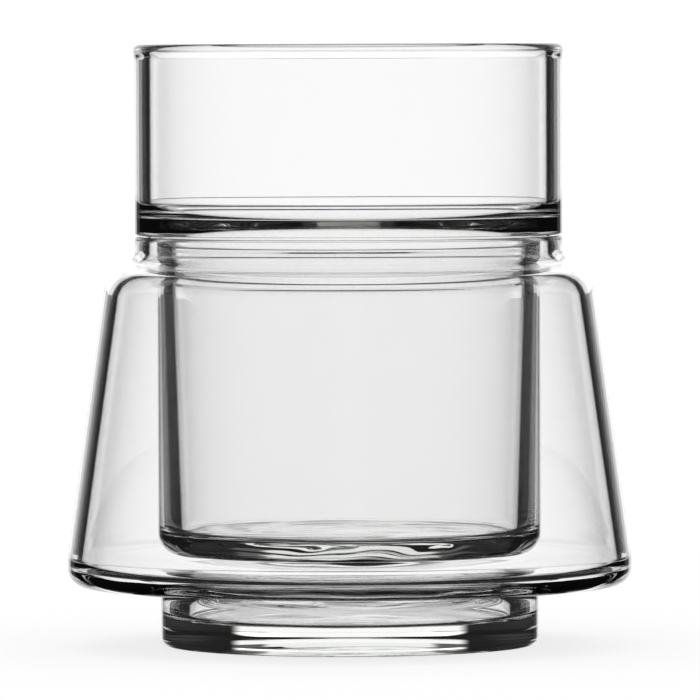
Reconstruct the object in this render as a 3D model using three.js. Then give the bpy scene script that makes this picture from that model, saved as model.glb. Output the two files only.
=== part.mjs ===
// Two-piece espresso glass, in millimetres, +Z up.
// A stepped drinking glass hangs by its ledge in the neck of a flared outer glass on a round foot.
// The origin lies on the common axis, in the plane that the foot stands on.
import * as THREE from "three";

// Fineness of the round surfaces
const FACETS_AROUND = 48;
const ARC_STEP_DEGREES = 18;
const PUSH_UP_STEPS = 4;

// Outer glass: foot
const FOOT_RADIUS = 26.5;
const FOOT_HEIGHT = 8.4;
const FOOT_WALL = 3.9;
const FOOT_FLOOR = 3.8;
const FOOT_EDGE_ROUND = 1.1;
const FOOT_ROOT_ROUND = 0.6;
const STANDING_RING_WIDTH = 5.0;
const PUSH_UP_HEIGHT = 1.2;

// Outer glass: body, from the underside of its ledge to the top of its neck
const BODY_HEIGHT = 49.0;
const BODY_WALL = 2.0;
const BODY_FLOOR = 1.9;
const BODY_FLARE = 5.45;
const BODY_EDGE_ROUND = 2.5;
const BODY_INNER_ROUND = 2.0;
const BASE_BAND_HEIGHT = 4.5;
const BASE_BAND_ROUND = 12.0;
const RECESS_EDGE_ROUND = 4.2;
const RECESS_FLOOR_ROUND = 1.0;

// Outer glass: shoulder and neck
const SHOULDER_WIDTH = 4.1;
const SHOULDER_DROP = 2.5;
const SHOULDER_ROUND = 5.0;
const SHOULDER_INNER_ROUND = 3.5;
const NECK_HEIGHT = 3.0;
const NECK_WALL = 1.95;
const NECK_ROOT_ROUND = 1.6;
const NECK_INNER_ROUND = 4.0;
const NECK_RIM_OUTER_ROUND = 0.4;
const NECK_RIM_INNER_ROUND = 0.6;

// Drinking glass: bowl and ledge
const BOWL_HEIGHT = 26.7;
const BOWL_WALL = 2.1;
const BOWL_EDGE_ROUND = 0.3;
const BOWL_INNER_ROUND = 3.5;
const RIM_BEAD = 0.15;
const RIM_BEAD_HEIGHT = 2.0;
const LEDGE_OUTER_HEIGHT = 3.25;
const LEDGE_INNER_HEIGHT = 0.75;
const LEDGE_INNER_ROUND = 3.3;
const LEDGE_ROOT_ROUND = 1.0;

// Drinking glass: stem
const STEM_RADIUS = 26.85;
const STEM_WALL_TOP = 1.9;
const STEM_WALL_BOTTOM = 3.2;
const STEM_FLOOR = 2.6;
const STEM_EDGE_ROUND = 2.9;
const STEM_INNER_ROUND = 1.4;

// Fits between the two glasses
const STEM_CLEARANCE = 1.2;
const SEAT_GAP = 0.2;
const HANG_CLEARANCE = 2.6;

// Clear glass
const GLASS_COLOUR = 0xeef1ee;
const GLASS_ROUGHNESS = 0.02;
const GLASS_OPACITY = 0.35;

// Heights that both glasses share
const ledgeUnderside = FOOT_HEIGHT;
const bodyFloor = ledgeUnderside + BODY_FLOOR;
const neckTop = FOOT_HEIGHT + BODY_HEIGHT;
const bowlBottom = neckTop + SEAT_GAP;

// The neck is flush with the bowl that stands on it
const neckBore = STEM_RADIUS + STEM_CLEARANCE;
const neckRadius = neckBore + NECK_WALL;
const bowlRadius = neckRadius;

const HALF = 0.5;
const SAME_POINT = 1e-6;

function corner(radius, height, round = 0) {
  return { at: new THREE.Vector2(radius, height), round };
}

// Arc that rounds one corner of an outline. Two neighbours share the side between them as their rounds do.
function cornerArc(before, { at, round }, after) {
  const back = before.at.clone().sub(at);
  const ahead = after.at.clone().sub(at);
  const halfAngle = HALF * back.angleTo(ahead);
  const cut = Math.min(
    round / Math.tan(halfAngle),
    (back.length() * round) / (round + before.round),
    (ahead.length() * round) / (round + after.round),
  );
  const radius = cut * Math.tan(halfAngle);
  const inward = back.clone().normalize().add(ahead.clone().normalize()).normalize();
  const centre = at.clone().addScaledVector(inward, radius / Math.sin(halfAngle));
  const start = at.clone().addScaledVector(back.normalize(), cut).sub(centre).angle();
  const end = at.clone().addScaledVector(ahead.normalize(), cut).sub(centre).angle();
  const turn = THREE.MathUtils.euclideanModulo(end - start + Math.PI, 2 * Math.PI) - Math.PI;
  const steps = Math.ceil(Math.abs(turn) / THREE.MathUtils.degToRad(ARC_STEP_DEGREES));
  const arc = new THREE.EllipseCurve(centre.x, centre.y, radius, radius, start, start + turn, turn < 0);
  return arc.getPoints(steps);
}

// Outline with every rounded corner drawn as an arc, and no point given twice.
function roundedOutline(corners) {
  const points = corners.flatMap((here, index) =>
    here.round > 0 ? cornerArc(corners[index - 1], here, corners[index + 1]) : [here.at],
  );
  return points.filter((point, index) => index === 0 || point.distanceTo(points[index - 1]) > SAME_POINT);
}

// Shallow dome under the foot, from the axis out to the ring that the glass stands on.
function pushUp(ringRadius) {
  const domeRadius = (ringRadius ** 2 + PUSH_UP_HEIGHT ** 2) / (2 * PUSH_UP_HEIGHT);
  const edgeAngle = Math.asin(ringRadius / domeRadius);
  const centreHeight = PUSH_UP_HEIGHT - domeRadius;
  const top = Math.PI / 2;
  const arc = new THREE.EllipseCurve(0, centreHeight, domeRadius, domeRadius, top, top - edgeAngle, true);
  const [, ...outward] = arc.getPoints(PUSH_UP_STEPS);
  return [corner(0, PUSH_UP_HEIGHT), ...outward.map(({ x, y }) => corner(x, y))];
}

// Outer glass, from the axis under the foot, up the outside, over the neck and down the inside.
function outerGlassOutline() {
  const shoulderTop = neckTop - NECK_HEIGHT;
  const shoulderBottom = shoulderTop - SHOULDER_DROP;
  const shoulderRadius = neckRadius + SHOULDER_WIDTH;
  const bodyRadius = shoulderRadius + BODY_FLARE;
  const bandTop = ledgeUnderside + BASE_BAND_HEIGHT;
  const flareSlope = BODY_FLARE / (shoulderBottom - bandTop);
  const wallAcross = BODY_WALL * Math.hypot(1, flareSlope);
  const innerRadiusAt = (height) => shoulderRadius + flareSlope * (shoulderBottom - height) - wallAcross;
  const shoulderSlope = SHOULDER_DROP / SHOULDER_WIDTH;
  const shoulderDepth = BODY_WALL * Math.hypot(1, shoulderSlope);
  const innerShoulderBottom = shoulderBottom - shoulderDepth + shoulderSlope * wallAcross;
  const boreBottom = shoulderTop - shoulderDepth + shoulderSlope * NECK_WALL;
  const recessRadius = FOOT_RADIUS - FOOT_WALL;
  return roundedOutline([
    ...pushUp(FOOT_RADIUS - FOOT_EDGE_ROUND - STANDING_RING_WIDTH),
    corner(FOOT_RADIUS, 0, FOOT_EDGE_ROUND),
    corner(FOOT_RADIUS, ledgeUnderside, FOOT_ROOT_ROUND),
    corner(bodyRadius, ledgeUnderside, BODY_EDGE_ROUND),
    corner(bodyRadius, bandTop, BASE_BAND_ROUND),
    corner(shoulderRadius, shoulderBottom, SHOULDER_ROUND),
    corner(neckRadius, shoulderTop, NECK_ROOT_ROUND),
    corner(neckRadius, neckTop, NECK_RIM_OUTER_ROUND),
    corner(neckBore, neckTop, NECK_RIM_INNER_ROUND),
    corner(neckBore, boreBottom, NECK_INNER_ROUND),
    corner(innerRadiusAt(innerShoulderBottom), innerShoulderBottom, SHOULDER_INNER_ROUND),
    corner(innerRadiusAt(bodyFloor), bodyFloor, BODY_INNER_ROUND),
    corner(recessRadius, bodyFloor, RECESS_EDGE_ROUND),
    corner(recessRadius, FOOT_FLOOR, RECESS_FLOOR_ROUND),
    corner(0, FOOT_FLOOR),
  ]);
}

// Drinking glass, from the axis under the stem, up the outside, over the rim and down the inside.
function insertGlassOutline() {
  const stemBottom = bodyFloor + HANG_CLEARANCE;
  const stemFloor = stemBottom + STEM_FLOOR;
  const rimTop = bowlBottom + BOWL_HEIGHT;
  const bowlInside = bowlRadius - BOWL_WALL;
  const rimRound = HALF * (BOWL_WALL + RIM_BEAD);
  return roundedOutline([
    corner(0, stemBottom),
    corner(STEM_RADIUS, stemBottom, STEM_EDGE_ROUND),
    corner(STEM_RADIUS, bowlBottom, LEDGE_ROOT_ROUND),
    corner(bowlRadius, bowlBottom, BOWL_EDGE_ROUND),
    corner(bowlRadius, rimTop - RIM_BEAD_HEIGHT),
    corner(bowlRadius + RIM_BEAD, rimTop - HALF * RIM_BEAD_HEIGHT),
    corner(bowlRadius + RIM_BEAD, rimTop, rimRound),
    corner(bowlInside, rimTop, rimRound),
    corner(bowlInside, bowlBottom + LEDGE_OUTER_HEIGHT, BOWL_INNER_ROUND),
    corner(STEM_RADIUS - STEM_WALL_TOP, bowlBottom + LEDGE_INNER_HEIGHT, LEDGE_INNER_ROUND),
    corner(STEM_RADIUS - STEM_WALL_BOTTOM, stemFloor, STEM_INNER_ROUND),
    corner(0, stemFloor),
  ]);
}

// Turns an outline of radius and height about the vertical axis.
function turned(name, outline) {
  const geometry = new THREE.LatheGeometry(outline, FACETS_AROUND).rotateX(Math.PI / 2);
  const clearGlass = new THREE.MeshStandardMaterial({
    color: GLASS_COLOUR,
    roughness: GLASS_ROUGHNESS,
    metalness: 0,
    transparent: true,
    opacity: GLASS_OPACITY,
  });
  const mesh = new THREE.Mesh(geometry, clearGlass);
  mesh.name = name;
  return mesh;
}

const espressoGlass = new THREE.Group();
espressoGlass.add(turned("outer_glass", outerGlassOutline()), turned("insert_glass", insertGlassOutline()));

export default espressoGlass;
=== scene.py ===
"""Looks of the two-piece espresso glass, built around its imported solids. Metres, +Z up."""
import math

import bpy
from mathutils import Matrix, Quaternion, Vector


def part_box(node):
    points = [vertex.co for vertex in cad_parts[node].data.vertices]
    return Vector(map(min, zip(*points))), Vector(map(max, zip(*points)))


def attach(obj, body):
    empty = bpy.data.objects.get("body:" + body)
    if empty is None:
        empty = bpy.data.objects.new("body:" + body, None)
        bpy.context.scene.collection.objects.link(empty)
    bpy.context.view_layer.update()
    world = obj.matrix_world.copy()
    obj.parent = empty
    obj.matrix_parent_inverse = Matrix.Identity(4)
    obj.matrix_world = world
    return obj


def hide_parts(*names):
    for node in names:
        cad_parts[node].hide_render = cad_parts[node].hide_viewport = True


MM = 0.001

# Fineness of the turned surfaces
SEGMENTS_AROUND = 256
ARC_STEP = math.radians(5)
FEWEST_ARC_STEPS = 2
WALL_STEP = 2.0 * MM
FLOOR_STEP = 0.8 * MM

# Outer glass: foot
FOOT_RADIUS = 26.5 * MM
FOOT_HEIGHT = 8.4 * MM
FOOT_WALL = 3.9 * MM
FOOT_FLOOR = 3.8 * MM
FOOT_EDGE_ROUND = 1.1 * MM
FOOT_ROOT_ROUND = 0.6 * MM
STANDING_RING_WIDTH = 5.0 * MM
PUSH_UP_HEIGHT = 1.2 * MM
PUSH_UP_STEPS = 16

# Outer glass: body, shoulder and neck
BODY_WALL = 2.0 * MM
BODY_FLOOR = 1.9 * MM
BODY_EDGE_ROUND = 2.5 * MM
BODY_INNER_ROUND = 2.0 * MM
BASE_BAND_HEIGHT = 4.5 * MM
BASE_BAND_ROUND = 12.0 * MM
RECESS_EDGE_ROUND = 4.2 * MM
RECESS_FLOOR_ROUND = 1.0 * MM
SHOULDER_WIDTH = 4.1 * MM
SHOULDER_DROP = 2.5 * MM
SHOULDER_ROUND = 5.0 * MM
SHOULDER_INNER_ROUND = 3.5 * MM
NECK_HEIGHT = 3.0 * MM
NECK_WALL = 1.95 * MM
NECK_ROOT_ROUND = 1.6 * MM
NECK_INNER_ROUND = 4.0 * MM
NECK_RIM_OUTER_ROUND = 0.4 * MM
NECK_RIM_INNER_ROUND = 0.6 * MM

# Drinking glass
BOWL_WALL = 2.1 * MM
BOWL_EDGE_ROUND = 0.3 * MM
BOWL_INNER_ROUND = 3.5 * MM
RIM_BEAD = 0.15 * MM
RIM_BEAD_HEIGHT = 2.0 * MM
RIM_BEAD_ROUND = 2.0 * MM
LEDGE_OUTER_HEIGHT = 3.25 * MM
LEDGE_INNER_HEIGHT = 0.75 * MM
LEDGE_INNER_ROUND = 3.3 * MM
LEDGE_ROOT_ROUND = 1.9 * MM
STEM_RADIUS = 26.85 * MM
STEM_WALL_TOP = 1.9 * MM
STEM_WALL_BOTTOM = 3.2 * MM
STEM_FLOOR = 2.6 * MM
STEM_EDGE_ROUND = 2.9 * MM
STEM_INNER_ROUND = 1.4 * MM
SEAT_GAP = 0.2 * MM

# Uneven surface of the fire-polished floors
FLOOR_RIPPLE = 0.1 * MM
RING_RIPPLE = 0.02 * MM
RIPPLE_LENGTH = 11.0 * MM
RIPPLE_FADE = 3.0 * MM
RIPPLE_BEND = 0.7
RIPPLE_ALONG = 0.6
RIPPLE_ACROSS = 0.4
FLOOR_TOLERANCE = 0.2 * MM

# Clear glass
GLASS_IOR = 1.5
GLASS_TINT = (0.80, 0.83, 0.76, 1.0)
GLASS_DENSITY = 8.0

# Camera, level with the rim
CAMERA_DISTANCE = 1.175
CAMERA_HEIGHT = 0.0831
AIM_HEIGHT = 0.04135
AIM_SIDEWAYS = 0.00015
CAMERA_ROLL = -0.0034
IMAGE_SIZE = 700
PIXELS_PER_METRE = 7123.9
SENSOR_WIDTH = 36.0

# Table
WHITE = (1.0, 1.0, 1.0, 1.0)
TABLE_RADIUS = 0.7
TABLE_GAP = 0.2 * MM
TABLE_GLOW = 0.8
TABLE_POLISH = 0.03

# Bearings of the light, from +Y towards +X
BACK = 0.0
RIGHT = math.pi / 2
FRONT = math.pi
LEFT = -math.pi / 2

# Light that all rays through the glass see
GAP_LEVEL = 0.01
PANEL_TOP_INNER = math.radians(28)
PANEL_TOP_OUTER = math.radians(45)

# Light for rays that only pass through the glass
BACK_INNER = math.radians(24)
BACK_OUTER = math.radians(28)
BACK_LEVEL = 1.1
SIDE_INNER = math.radians(12)
SIDE_OUTER = math.radians(27)
STRIP_INNER = math.radians(10)
STRIP_OUTER = math.radians(22)
STRIP_GAIN = 0.6
PANEL_FOOT_INNER = math.radians(-4.05)
PANEL_FOOT_OUTER = math.radians(-4.35)

# Light for rays that were mirrored on their way
NARROW_INNER = math.radians(16)
NARROW_OUTER = math.radians(19)
NARROW_LEVEL = 0.88
DIM_LEVEL = 0.12
WIDE_FROM_OUTER = math.radians(2.1)
WIDE_FROM_INNER = math.radians(2.5)
FILL_INNER = math.radians(30)
FILL_OUTER = math.radians(165)
FILL_LEVEL = 0.08

# White for rays that leave the table steeply
TABLE_WHITE_OUTER = math.radians(3.5)
TABLE_WHITE_INNER = math.radians(5.5)
TABLE_SOFT_INNER = math.radians(35)
TABLE_SOFT_OUTER = math.radians(50)
TABLE_SOFT_LEVEL = 0.55
OVERHEAD_OUTER = math.radians(70)
OVERHEAD_INNER = math.radians(77)
OVERHEAD_LEVEL = 0.9

# Counts of reflections, taken halfway between whole numbers, and of bounces
AT_LEAST_ONE = 0.5
AT_MOST_ONE = 1.5
MOST_BOUNCES = 24
MIRROR_BOUNCES = 8

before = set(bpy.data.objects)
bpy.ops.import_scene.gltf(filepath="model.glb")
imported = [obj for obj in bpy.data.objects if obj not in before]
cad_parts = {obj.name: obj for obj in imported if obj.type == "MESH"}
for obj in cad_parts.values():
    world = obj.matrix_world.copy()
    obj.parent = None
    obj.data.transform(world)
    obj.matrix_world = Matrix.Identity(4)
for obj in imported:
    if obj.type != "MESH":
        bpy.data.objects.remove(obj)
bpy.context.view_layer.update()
_, outer_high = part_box("outer_glass")
insert_low, insert_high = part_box("insert_glass")

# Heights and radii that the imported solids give
neck_top = outer_high.z
bowl_bottom = neck_top + SEAT_GAP
rim_top = insert_high.z
stem_bottom = insert_low.z
bowl_radius = insert_high.x - RIM_BEAD
neck_radius = bowl_radius
neck_bore = neck_radius - NECK_WALL
body_radius = outer_high.x
body_floor = FOOT_HEIGHT + BODY_FLOOR
stem_floor = stem_bottom + STEM_FLOOR


def linked(name, data):
    """Object that holds some data, in the scene."""
    piece = bpy.data.objects.new(name, data)
    bpy.context.scene.collection.objects.link(piece)
    return piece


def corner(radius, height, rounding=0.0):
    """A corner of an outline in radius and height, with the radius that rounds it."""
    return Vector((radius, height)), rounding


def round_length(before, here, after):
    """Length that the round of a corner would take of both its sides."""
    at, rounding = here
    return rounding / math.tan((before[0] - at).angle(after[0] - at) / 2)


def corner_arc(before, at, after, cut):
    """Points of the arc that rounds a corner and takes up a length of both its sides."""
    back = before - at
    ahead = after - at
    half_angle = back.angle(ahead) / 2
    radius = cut * math.tan(half_angle)
    inward = (back.normalized() + ahead.normalized()).normalized()
    centre = at + inward * radius / math.sin(half_angle)
    start = at + back.normalized() * cut - centre
    end = at + ahead.normalized() * cut - centre
    start_angle = math.atan2(start.y, start.x)
    turn = (math.atan2(end.y, end.x) - start_angle + math.pi) % math.tau - math.pi
    steps = max(FEWEST_ARC_STEPS, math.ceil(abs(turn) / ARC_STEP))
    angles = [start_angle + turn * step / steps for step in range(steps + 1)]
    return [centre + radius * Vector((math.cos(angle), math.sin(angle))) for angle in angles]


def straight(start, end):
    """Points between two ends of a straight stretch, close together where it is level."""
    level = abs(end.y - start.y) < abs(end.x - start.x)
    steps = math.ceil((end - start).length / (FLOOR_STEP if level else WALL_STEP))
    return [start.lerp(end, step / steps) for step in range(1, steps)]


def rounded_outline(corners):
    """Outline with every rounded corner drawn as an arc and every straight stretch divided.

    Where two rounds don't fit on the side between them, they share it as the lengths they would take.
    """
    inner_corners = zip(corners, corners[1:], corners[2:])
    lengths = [0.0, *(round_length(*three) for three in inner_corners), 0.0]
    stretches = []
    for index, (at, rounding) in enumerate(corners):
        if rounding > 0:
            before = corners[index - 1][0]
            after = corners[index + 1][0]
            length = lengths[index]
            share_before = (before - at).length / (length + lengths[index - 1])
            share_after = (after - at).length / (length + lengths[index + 1])
            cut = length * min(1.0, share_before, share_after)
            stretches.append(corner_arc(before, at, after, cut))
        else:
            stretches.append([at])
    points = list(stretches[0])
    for stretch in stretches[1:]:
        points += straight(points[-1], stretch[0])
        points += stretch
    return points


def push_up(ring_radius):
    """Shallow dome under the foot, from the axis out to the ring that the glass stands on."""
    dome_radius = (ring_radius**2 + PUSH_UP_HEIGHT**2) / (2 * PUSH_UP_HEIGHT)
    edge_angle = math.asin(ring_radius / dome_radius)
    angles = [edge_angle * step / PUSH_UP_STEPS for step in range(PUSH_UP_STEPS + 1)]
    centre_height = PUSH_UP_HEIGHT - dome_radius
    return [corner(dome_radius * math.sin(a), centre_height + dome_radius * math.cos(a)) for a in angles]


def outer_glass_outline():
    """Outer glass, from the axis under the foot, up the outside, over the neck and down the inside."""
    shoulder_top = neck_top - NECK_HEIGHT
    shoulder_bottom = shoulder_top - SHOULDER_DROP
    shoulder_radius = neck_radius + SHOULDER_WIDTH
    band_top = FOOT_HEIGHT + BASE_BAND_HEIGHT
    flare_slope = (body_radius - shoulder_radius) / (shoulder_bottom - band_top)
    wall_across = BODY_WALL * math.hypot(1, flare_slope)

    def inner_radius(height):
        return shoulder_radius + flare_slope * (shoulder_bottom - height) - wall_across

    shoulder_slope = SHOULDER_DROP / SHOULDER_WIDTH
    shoulder_depth = BODY_WALL * math.hypot(1, shoulder_slope)
    inner_shoulder = shoulder_bottom - shoulder_depth + shoulder_slope * wall_across
    bore_bottom = shoulder_top - shoulder_depth + shoulder_slope * NECK_WALL
    recess_radius = FOOT_RADIUS - FOOT_WALL
    return rounded_outline([
        *push_up(FOOT_RADIUS - FOOT_EDGE_ROUND - STANDING_RING_WIDTH),
        corner(FOOT_RADIUS, 0, FOOT_EDGE_ROUND),
        corner(FOOT_RADIUS, FOOT_HEIGHT, FOOT_ROOT_ROUND),
        corner(body_radius, FOOT_HEIGHT, BODY_EDGE_ROUND),
        corner(body_radius, band_top, BASE_BAND_ROUND),
        corner(shoulder_radius, shoulder_bottom, SHOULDER_ROUND),
        corner(neck_radius, shoulder_top, NECK_ROOT_ROUND),
        corner(neck_radius, neck_top, NECK_RIM_OUTER_ROUND),
        corner(neck_bore, neck_top, NECK_RIM_INNER_ROUND),
        corner(neck_bore, bore_bottom, NECK_INNER_ROUND),
        corner(inner_radius(inner_shoulder), inner_shoulder, SHOULDER_INNER_ROUND),
        corner(inner_radius(body_floor), body_floor, BODY_INNER_ROUND),
        corner(recess_radius, body_floor, RECESS_EDGE_ROUND),
        corner(recess_radius, FOOT_FLOOR, RECESS_FLOOR_ROUND),
        corner(0, FOOT_FLOOR),
    ])


def insert_glass_outline():
    """Drinking glass, from the axis under the stem, up the outside, over the rim and down the inside."""
    bowl_inside = bowl_radius - BOWL_WALL
    bead_radius = bowl_radius + RIM_BEAD
    rim_round = (BOWL_WALL + RIM_BEAD) / 2
    return rounded_outline([
        corner(0, stem_bottom),
        corner(STEM_RADIUS, stem_bottom, STEM_EDGE_ROUND),
        corner(STEM_RADIUS, bowl_bottom, LEDGE_ROOT_ROUND),
        corner(bowl_radius, bowl_bottom, BOWL_EDGE_ROUND),
        corner(bowl_radius, rim_top - RIM_BEAD_HEIGHT, RIM_BEAD_ROUND),
        corner(bead_radius, rim_top - RIM_BEAD_HEIGHT / 2, RIM_BEAD_ROUND),
        corner(bead_radius, rim_top, rim_round),
        corner(bowl_inside, rim_top, rim_round),
        corner(bowl_inside, bowl_bottom + LEDGE_OUTER_HEIGHT, BOWL_INNER_ROUND),
        corner(STEM_RADIUS - STEM_WALL_TOP, bowl_bottom + LEDGE_INNER_HEIGHT, LEDGE_INNER_ROUND),
        corner(STEM_RADIUS - STEM_WALL_BOTTOM, stem_floor, STEM_INNER_ROUND),
        corner(0, stem_floor),
    ])


def ripple(x, y):
    """Slow, swirled unevenness that pressing and fire-polishing leave on a floor, from -1 to 1."""
    radius = math.hypot(x, y)
    swirl = math.atan2(y, x) + radius / RIPPLE_LENGTH
    across = radius * math.cos(swirl) / RIPPLE_LENGTH * math.tau
    along = radius * math.sin(swirl) / RIPPLE_LENGTH * math.tau
    folds = math.sin(across + RIPPLE_BEND * math.sin(along))
    waves = math.cos(RIPPLE_ALONG * along - RIPPLE_ACROSS * across)
    return (folds + waves) / 2


def unevenness(point, x, y, rippled_floors):
    """Height that the ripples of the floors add to a point of an outline, once it is turned to x and y."""
    added = 0.0
    for floor_height, from_radius, to_radius, ripple_height in rippled_floors:
        if abs(point.y - floor_height) < FLOOR_TOLERANCE and from_radius < point.x < to_radius:
            inside = min(point.x - from_radius, to_radius - point.x)
            added += ripple_height * ripple(x, y) * min(1.0, inside / RIPPLE_FADE)
    return added


def ring_faces(lower, upper):
    """Faces between two neighbouring rings of vertices, of which one may be a point on the axis."""
    faces = []
    for step in range(SEGMENTS_AROUND):
        following = (step + 1) % SEGMENTS_AROUND
        if len(lower) == 1:
            faces.append((lower[0], upper[following], upper[step]))
        elif len(upper) == 1:
            faces.append((lower[step], lower[following], upper[0]))
        else:
            faces.append((lower[step], lower[following], upper[following], upper[step]))
    return faces


def turned(name, outline, rippled_floors):
    """Mesh of an outline turned about Z, with each named floor's unevenness in its surface."""
    vertices = []
    rings = []
    for point in outline:
        count = SEGMENTS_AROUND if point.x > 0 else 1
        rings.append(range(len(vertices), len(vertices) + count))
        for step in range(count):
            angle = math.tau * step / SEGMENTS_AROUND
            x = point.x * math.cos(angle)
            y = point.x * math.sin(angle)
            vertices.append((x, y, point.y + unevenness(point, x, y, rippled_floors)))
    faces = []
    for lower, upper in zip(rings, rings[1:]):
        faces += ring_faces(lower, upper)
    mesh = bpy.data.meshes.new(name)
    mesh.from_pydata(vertices, [], faces)
    mesh.shade_smooth()
    return linked(name, mesh)


def clear_glass():
    """Clear soda-lime glass, olive only where light has gone a long way through it."""
    material = bpy.data.materials.new("clear_glass")
    material.use_nodes = True
    tree = material.node_tree
    shader = tree.nodes["Principled BSDF"]
    shader.inputs["Base Color"].default_value = WHITE
    shader.inputs["Roughness"].default_value = 0.0
    shader.inputs["IOR"].default_value = GLASS_IOR
    shader.inputs["Transmission Weight"].default_value = 1.0
    absorption = tree.nodes.new("ShaderNodeVolumeAbsorption")
    absorption.inputs["Color"].default_value = GLASS_TINT
    absorption.inputs["Density"].default_value = GLASS_DENSITY
    tree.links.new(absorption.outputs["Volume"], tree.nodes["Material Output"].inputs["Volume"])
    return material


def math_node(tree, operation, *values):
    """Math node, with numbers set on its sockets and sockets linked to them."""
    node = tree.nodes.new("ShaderNodeMath")
    node.operation = operation
    for socket, value in zip(node.inputs, values):
        if isinstance(value, bpy.types.NodeSocket):
            tree.links.new(value, socket)
        else:
            socket.default_value = value
    return node.outputs["Value"]


def combined(tree, operation, *values):
    """Several sockets or numbers taken together two at a time, such as added or multiplied."""
    result = values[0]
    for value in values[1:]:
        result = math_node(tree, operation, result, value)
    return result


def blend(tree, share, first, second):
    """The first socket where the share is 0 and the second where it is 1."""
    return math_node(tree, "MULTIPLY_ADD", share, math_node(tree, "SUBTRACT", second, first), first)


def fading(tree, value, inner, outer, level):
    """The level up to the inner value, fading smoothly to nothing at the outer one."""
    node = tree.nodes.new("ShaderNodeMapRange")
    node.interpolation_type = "SMOOTHSTEP"
    node.inputs["From Min"].default_value = inner
    node.inputs["From Max"].default_value = outer
    node.inputs["To Min"].default_value = level
    node.inputs["To Max"].default_value = 0.0
    tree.links.new(value, node.inputs["Value"])
    return node.outputs["Result"]


def panel(tree, azimuth, bearing, inner, outer, level):
    """Brightness of a tall panel that stands in the direction of a bearing."""
    turned_away = math_node(tree, "SUBTRACT", azimuth, bearing)
    wrapped = math_node(tree, "WRAP", turned_away, math.pi, -math.pi)
    return fading(tree, math_node(tree, "ABSOLUTE", wrapped), inner, outer, level)


def plainly_seen(tree, path):
    """1 for rays of the camera and of matt surfaces, which see the plain white stage, and 0 for others."""
    return math_node(tree, "MAXIMUM", path.outputs["Is Camera Ray"], path.outputs["Is Diffuse Ray"])


def passed_light(tree, azimuth, elevation):
    """Four tall panels for rays that only pass through the glass, the back one darker in its middle."""
    back = panel(tree, azimuth, BACK, BACK_INNER, BACK_OUTER, BACK_LEVEL)
    sides = [panel(tree, azimuth, bearing, SIDE_INNER, SIDE_OUTER, 1.0) for bearing in (RIGHT, FRONT, LEFT)]
    around = combined(tree, "ADD", back, *sides)
    middle = panel(tree, azimuth, BACK, STRIP_INNER, STRIP_OUTER, STRIP_GAIN)
    gain = math_node(tree, "SUBTRACT", 1.0 + STRIP_GAIN, middle)
    above_foot = fading(tree, elevation, PANEL_FOOT_INNER, PANEL_FOOT_OUTER, 1.0)
    return combined(tree, "MULTIPLY", around, gain, above_foot)


def mirrored_light(tree, azimuth, elevation, once):
    """Light for rays that were mirrored: the back panel, wide or narrowed, and a weak fill from the front."""
    wide = panel(tree, azimuth, BACK, BACK_INNER, BACK_OUTER, BACK_LEVEL)
    narrow = panel(tree, azimuth, BACK, NARROW_INNER, NARROW_OUTER, NARROW_LEVEL)
    dim = panel(tree, azimuth, BACK, BACK_INNER, BACK_OUTER, DIM_LEVEL)
    narrowed = math_node(tree, "ADD", narrow, dim)
    high = fading(tree, elevation, WIDE_FROM_INNER, WIDE_FROM_OUTER, 1.0)
    shown_wide = math_node(tree, "MULTIPLY", once, high)
    fill = panel(tree, azimuth, FRONT, FILL_INNER, FILL_OUTER, FILL_LEVEL)
    return math_node(tree, "ADD", blend(tree, shown_wide, narrowed, wide), fill)


def table_light(tree, elevation, path, once, reflected):
    """White for rays that leave the table steeply, which keeps the glass clear from other sides.

    The table isn't a perfect mirror, so its reflections don't count as singular and the glass's own do.
    Rays that were mirrored once in any other way see white only near the zenith.
    """
    steep = fading(tree, elevation, TABLE_WHITE_INNER, TABLE_WHITE_OUTER, 1.0)
    low_part = fading(tree, elevation, TABLE_SOFT_INNER, TABLE_SOFT_OUTER, 1.0 - TABLE_SOFT_LEVEL)
    softened = math_node(tree, "ADD", low_part, TABLE_SOFT_LEVEL)
    singular = path.outputs["Is Singular Ray"]
    off_table = math_node(tree, "SUBTRACT", path.outputs["Is Reflection Ray"], singular)
    direct = combined(tree, "MULTIPLY", once, off_table, steep, softened)
    overhead = fading(tree, elevation, OVERHEAD_INNER, OVERHEAD_OUTER, OVERHEAD_LEVEL)
    returned = combined(tree, "MULTIPLY", once, reflected, overhead)
    return math_node(tree, "MAXIMUM", direct, returned)


def studio_world():
    """White to the camera. Glass sees tall bright panels with dark gaps between them, which draw its edges.

    The panels differ for rays that only pass through the glass and rays that were mirrored on their way.
    """
    world = bpy.data.worlds.new("studio")
    bpy.context.scene.world = world
    world.use_nodes = True
    world.cycles.sampling_method = "NONE"
    tree = world.node_tree
    coordinates = tree.nodes.new("ShaderNodeTexCoord")
    direction = tree.nodes.new("ShaderNodeSeparateXYZ")
    tree.links.new(coordinates.outputs["Generated"], direction.inputs["Vector"])
    azimuth = math_node(tree, "ARCTAN2", direction.outputs["X"], direction.outputs["Y"])
    elevation = math_node(tree, "ARCSINE", direction.outputs["Z"])
    path = tree.nodes.new("ShaderNodeLightPath")
    reflections = path.outputs["Glossy Depth"]
    once = math_node(tree, "LESS_THAN", reflections, AT_MOST_ONE)
    reflected = math_node(tree, "GREATER_THAN", reflections, AT_LEAST_ONE)
    passed = passed_light(tree, azimuth, elevation)
    mirrored = mirrored_light(tree, azimuth, elevation, once)
    below_top = fading(tree, elevation, PANEL_TOP_INNER, PANEL_TOP_OUTER, 1.0)
    panels = math_node(tree, "MULTIPLY", blend(tree, reflected, passed, mirrored), below_top)
    lit = math_node(tree, "ADD", panels, GAP_LEVEL)
    off_table = table_light(tree, elevation, path, once, reflected)
    level = combined(tree, "MAXIMUM", lit, off_table, plainly_seen(tree, path))
    tree.links.new(level, tree.nodes["Background"].inputs["Color"])


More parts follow.
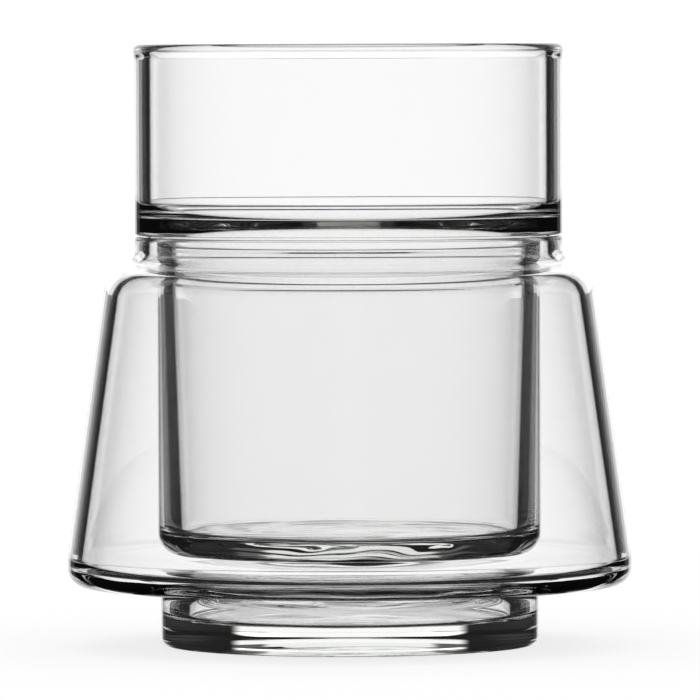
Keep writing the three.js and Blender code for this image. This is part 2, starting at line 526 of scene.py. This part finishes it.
def white_table():
    """Matt and mostly glowing white to the camera, and a near-mirror to rays that come from the glass."""
    material = bpy.data.materials.new("white_table")
    material.use_nodes = True
    tree = material.node_tree
    tree.nodes.remove(tree.nodes["Principled BSDF"])
    diffuse = tree.nodes.new("ShaderNodeBsdfDiffuse")
    diffuse.inputs["Color"].default_value = WHITE
    glow = tree.nodes.new("ShaderNodeEmission")
    table = tree.nodes.new("ShaderNodeMixShader")
    table.inputs["Fac"].default_value = TABLE_GLOW
    tree.links.new(diffuse.outputs["BSDF"], table.inputs[1])
    tree.links.new(glow.outputs["Emission"], table.inputs[2])
    polish = tree.nodes.new("ShaderNodeBsdfGlossy")
    polish.inputs["Color"].default_value = WHITE
    polish.inputs["Roughness"].default_value = TABLE_POLISH
    path = tree.nodes.new("ShaderNodeLightPath")
    shown = tree.nodes.new("ShaderNodeMixShader")
    tree.links.new(plainly_seen(tree, path), shown.inputs["Fac"])
    tree.links.new(polish.outputs["BSDF"], shown.inputs[1])
    tree.links.new(table.outputs["Shader"], shown.inputs[2])
    tree.links.new(shown.outputs["Shader"], tree.nodes["Material Output"].inputs["Surface"])
    material.cycles.emission_sampling = "NONE"
    return material


def floor():
    """White polished table. It keeps a soft shadow, and the glass above it sees the studio mirrored in it."""
    mesh = bpy.data.meshes.new("floor")
    angles = [math.tau * step / SEGMENTS_AROUND for step in range(SEGMENTS_AROUND)]
    edge = [(TABLE_RADIUS * math.cos(a), TABLE_RADIUS * math.sin(a), -TABLE_GAP) for a in angles]
    mesh.from_pydata(edge, [], [tuple(range(SEGMENTS_AROUND))])
    mesh.materials.append(white_table())
    piece = linked("floor", mesh)


def light_paths():
    """Enough bounces for the light that runs to and fro in the thick bases to come out again."""
    paths = bpy.context.scene.cycles
    paths.max_bounces = MOST_BOUNCES
    paths.transmission_bounces = MOST_BOUNCES
    paths.glossy_bounces = MIRROR_BOUNCES


def camera():
    """Camera level with the rim, with the lens that gives the object its size in the picture."""
    lens_data = bpy.data.cameras.new("camera")
    piece = linked("camera", lens_data)
    bpy.context.scene.camera = piece
    sight = Vector((0.0, CAMERA_DISTANCE, AIM_HEIGHT - CAMERA_HEIGHT))
    roll = Quaternion((0.0, 0.0, 1.0), CAMERA_ROLL)
    piece.location = (AIM_SIDEWAYS, -CAMERA_DISTANCE, CAMERA_HEIGHT)
    piece.rotation_mode = "QUATERNION"
    piece.rotation_quaternion = sight.to_track_quat("-Z", "Y") @ roll
    lens_data.sensor_width = SENSOR_WIDTH
    lens_data.lens = SENSOR_WIDTH * PIXELS_PER_METRE * sight.length / IMAGE_SIZE


def glasses():
    """The two glasses, each standing for its solid and moving with its body."""
    glass = clear_glass()
    recess_edge = FOOT_RADIUS - FOOT_WALL
    stem_edge = STEM_RADIUS - STEM_WALL_BOTTOM
    outer_floors = [
        (FOOT_FLOOR, -RIPPLE_FADE, recess_edge, FLOOR_RIPPLE),
        (body_floor, recess_edge, body_radius - BODY_WALL, RING_RIPPLE),
    ]
    insert_floors = [(stem_floor, -RIPPLE_FADE, stem_edge, FLOOR_RIPPLE)]
    pieces = [
        ("flared_outer_glass", outer_glass_outline(), outer_floors, "outer_glass", "outer"),
        ("stepped_drinking_glass", insert_glass_outline(), insert_floors, "insert_glass", "insert"),
    ]
    for name, outline, rippled_floors, node, body in pieces:
        piece = turned(name, outline, rippled_floors)
        piece.data.materials.append(glass)
        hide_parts(node)
        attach(piece, body)


bpy.context.scene.view_settings.view_transform = "Standard"
studio_world()
floor()
light_paths()
camera()
glasses()
